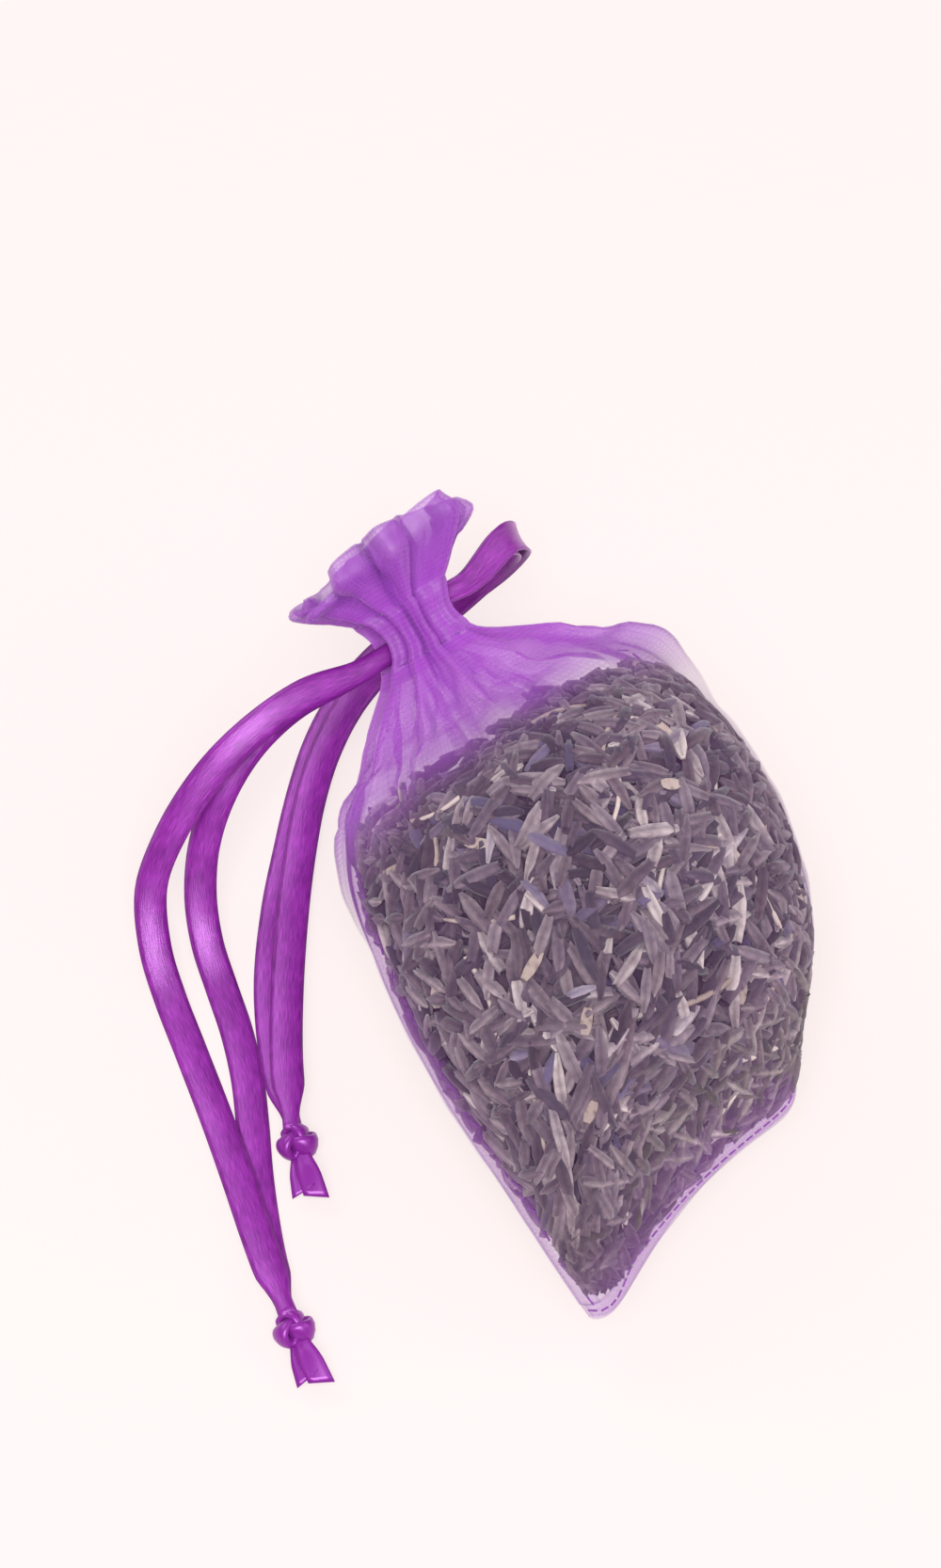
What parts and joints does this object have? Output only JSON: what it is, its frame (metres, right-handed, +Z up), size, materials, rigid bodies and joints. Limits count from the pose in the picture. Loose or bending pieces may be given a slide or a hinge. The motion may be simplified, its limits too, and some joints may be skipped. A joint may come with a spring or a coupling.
{
  "type": "lavender sachet",
  "caption": "Small sheer organza drawstring pouch filled with dried lavender buds, gathered at the neck by satin ribbons with knotted ends.",
  "frame": {"origin": "on the table under the middle of the pouch's box, measured without the free ribbon ends", "axes": "+X across the pouch, +Y from the bottom seam to the ruffle, +Z up from the table through the front panel"},
  "size_m": [0.0808, 0.0888, 0.0362],
  "materials": {
    "organza": "sheer plain-weave organza with a soft sheen",
    "satin_ribbon": "glossy satin",
    "sewing_thread": "matt polyester thread",
    "dried_lavender": "dry matt plant",
    "dried_stem": "dry straw"
  },
  "bodies": {
    "pouch": {"front_panel": "organza", "back_panel": "organza", "front_lower_casing_stitching": "sewing_thread", "back_lower_casing_stitching": "sewing_thread", "front_upper_casing_stitching": "sewing_thread", "back_upper_casing_stitching": "sewing_thread", "left_seam_thread": "sewing_thread", "right_seam_thread": "sewing_thread", "bottom_seam_thread": "sewing_thread", "left_ribbon_loop": "satin_ribbon", "right_ribbon_loop": "satin_ribbon", "lavender_fill": "dried_lavender", "lavender_bud_1": "dried_lavender", "lavender_bud_2": "dried_lavender", "lavender_bud_3": "dried_lavender", "lavender_bud_4": "dried_lavender", "lavender_bud_5": "dried_lavender", "lavender_bud_6": "dried_lavender", "lavender_bud_7": "dried_lavender", "lavender_bud_8": "dried_lavender", "lavender_stem_1": "dried_stem", "lavender_stem_2": "dried_stem"},
    "left_drawstring": {"left_front_tail": "satin_ribbon", "left_back_tail": "satin_ribbon", "left_knot": "satin_ribbon"},
    "right_drawstring": {"right_front_tail": "satin_ribbon", "right_back_tail": "satin_ribbon", "right_knot": "satin_ribbon"}
  },
  "joints": [
    {"name": "left_drawstring_pull", "type": "slide", "parent": "pouch", "child": "left_drawstring", "axis": [-1, 0, 0], "range_m": [0, 0.005]},
    {"name": "right_drawstring_pull", "type": "slide", "parent": "pouch", "child": "right_drawstring", "axis": [1, 0, 0], "range_m": [0, 0.005]}
  ]
}
